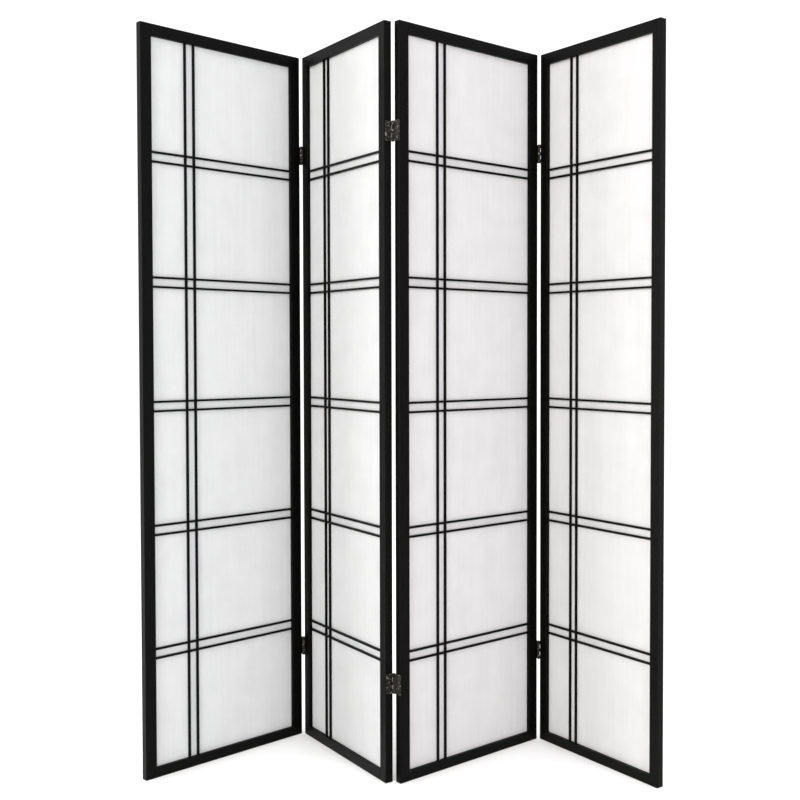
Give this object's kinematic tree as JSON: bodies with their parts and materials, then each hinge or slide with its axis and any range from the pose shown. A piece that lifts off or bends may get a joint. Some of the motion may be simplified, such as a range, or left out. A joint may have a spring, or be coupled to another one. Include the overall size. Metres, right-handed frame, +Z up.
{
  "type": "folding room divider screen",
  "caption": "Free-standing folding room divider: black wooden lattice panels with white translucent paper, joined by two-way hinges so every fold closes to either side.",
  "frame": {"origin": "on the floor, under the middle of the standing screen's bounding box", "axes": "+Z up, +X to the right along the screen as seen from the front, +Y towards the back"},
  "size_m": [1.2342, 0.3538, 1.784],
  "materials": {
    "lacquered_wood": "black satin lacquer",
    "paper": "translucent white fibre paper",
    "antique_brass": "dark antique",
    "screw_steel": "bronzed"
  },
  "bodies": {
    "panel_1": {"hinge_12_lower_left_leaf": "antique_brass", "hinge_12_upper_left_leaf": "antique_brass", "panel_1_back_cross_bars": "lacquered_wood", "panel_1_back_upright_bars": "lacquered_wood", "panel_1_bottom_rail": "lacquered_wood", "panel_1_front_cross_bars": "lacquered_wood", "panel_1_front_upright_bars": "lacquered_wood", "panel_1_hinge_screws": "screw_steel", "panel_1_left_stile": "lacquered_wood", "panel_1_paper": "paper", "panel_1_right_stile": "lacquered_wood", "panel_1_top_rail": "lacquered_wood"},
    "link_12": {"hinge_12_links": "antique_brass", "hinge_12_pins": "antique_brass"},
    "panel_2": {"hinge_12_lower_right_leaf": "antique_brass", "hinge_12_upper_right_leaf": "antique_brass", "hinge_23_lower_left_leaf": "antique_brass", "hinge_23_upper_left_leaf": "antique_brass", "panel_2_back_cross_bars": "lacquered_wood", "panel_2_back_upright_bars": "lacquered_wood", "panel_2_bottom_rail": "lacquered_wood", "panel_2_front_cross_bars": "lacquered_wood", "panel_2_front_upright_bars": "lacquered_wood", "panel_2_hinge_screws": "screw_steel", "panel_2_left_stile": "lacquered_wood", "panel_2_paper": "paper", "panel_2_right_stile": "lacquered_wood", "panel_2_top_rail": "lacquered_wood"},
    "link_23": {"hinge_23_links": "antique_brass", "hinge_23_pins": "antique_brass"},
    "panel_3": {"hinge_23_lower_right_leaf": "antique_brass", "hinge_23_upper_right_leaf": "antique_brass", "hinge_34_lower_left_leaf": "antique_brass", "hinge_34_upper_left_leaf": "antique_brass", "panel_3_back_cross_bars": "lacquered_wood", "panel_3_back_upright_bars": "lacquered_wood", "panel_3_bottom_rail": "lacquered_wood", "panel_3_front_cross_bars": "lacquered_wood", "panel_3_front_upright_bars": "lacquered_wood", "panel_3_hinge_screws": "screw_steel", "panel_3_left_stile": "lacquered_wood", "panel_3_paper": "paper", "panel_3_right_stile": "lacquered_wood", "panel_3_top_rail": "lacquered_wood"},
    "link_34": {"hinge_34_links": "antique_brass", "hinge_34_pins": "antique_brass"},
    "panel_4": {"hinge_34_lower_right_leaf": "antique_brass", "hinge_34_upper_right_leaf": "antique_brass", "panel_4_back_cross_bars": "lacquered_wood", "panel_4_back_upright_bars": "lacquered_wood", "panel_4_bottom_rail": "lacquered_wood", "panel_4_front_cross_bars": "lacquered_wood", "panel_4_front_upright_bars": "lacquered_wood", "panel_4_hinge_screws": "screw_steel", "panel_4_left_stile": "lacquered_wood", "panel_4_paper": "paper", "panel_4_right_stile": "lacquered_wood", "panel_4_top_rail": "lacquered_wood"}
  },
  "joints": [
    {"name": "back_fold_12", "type": "hinge", "parent": "link_12", "child": "panel_1", "pos_m": [-0.33842, 0.17353, 0.8825], "axis": [0, 0, -1], "range_deg": [0, 180]},
    {"name": "front_fold_12", "type": "hinge", "parent": "panel_2", "child": "link_12", "pos_m": [-0.32156, 0.15939, 0.8825], "axis": [0, 0, 1], "range_deg": [-99, 81]},
    {"name": "back_fold_23", "type": "hinge", "parent": "link_23", "child": "panel_2", "pos_m": [-0.01629, -0.15825, 0.8825], "axis": [0, 0, -1], "range_deg": [-95, 85]},
    {"name": "front_fold_23", "type": "hinge", "parent": "link_23", "child": "panel_3", "pos_m": [-0.00047, -0.17353, 0.8825], "axis": [0, 0, -1], "range_deg": [0, 176]},
    {"name": "back_fold_34", "type": "hinge", "parent": "panel_3", "child": "link_34", "pos_m": [0.28936, 0.15826, 0.8825], "axis": [0, 0, 1], "range_deg": [0, 180]},
    {"name": "front_fold_34", "type": "hinge", "parent": "link_34", "child": "panel_4", "pos_m": [0.30518, 0.14298, 0.8825], "axis": [0, 0, -1], "range_deg": [-93, 87]}
  ]
}
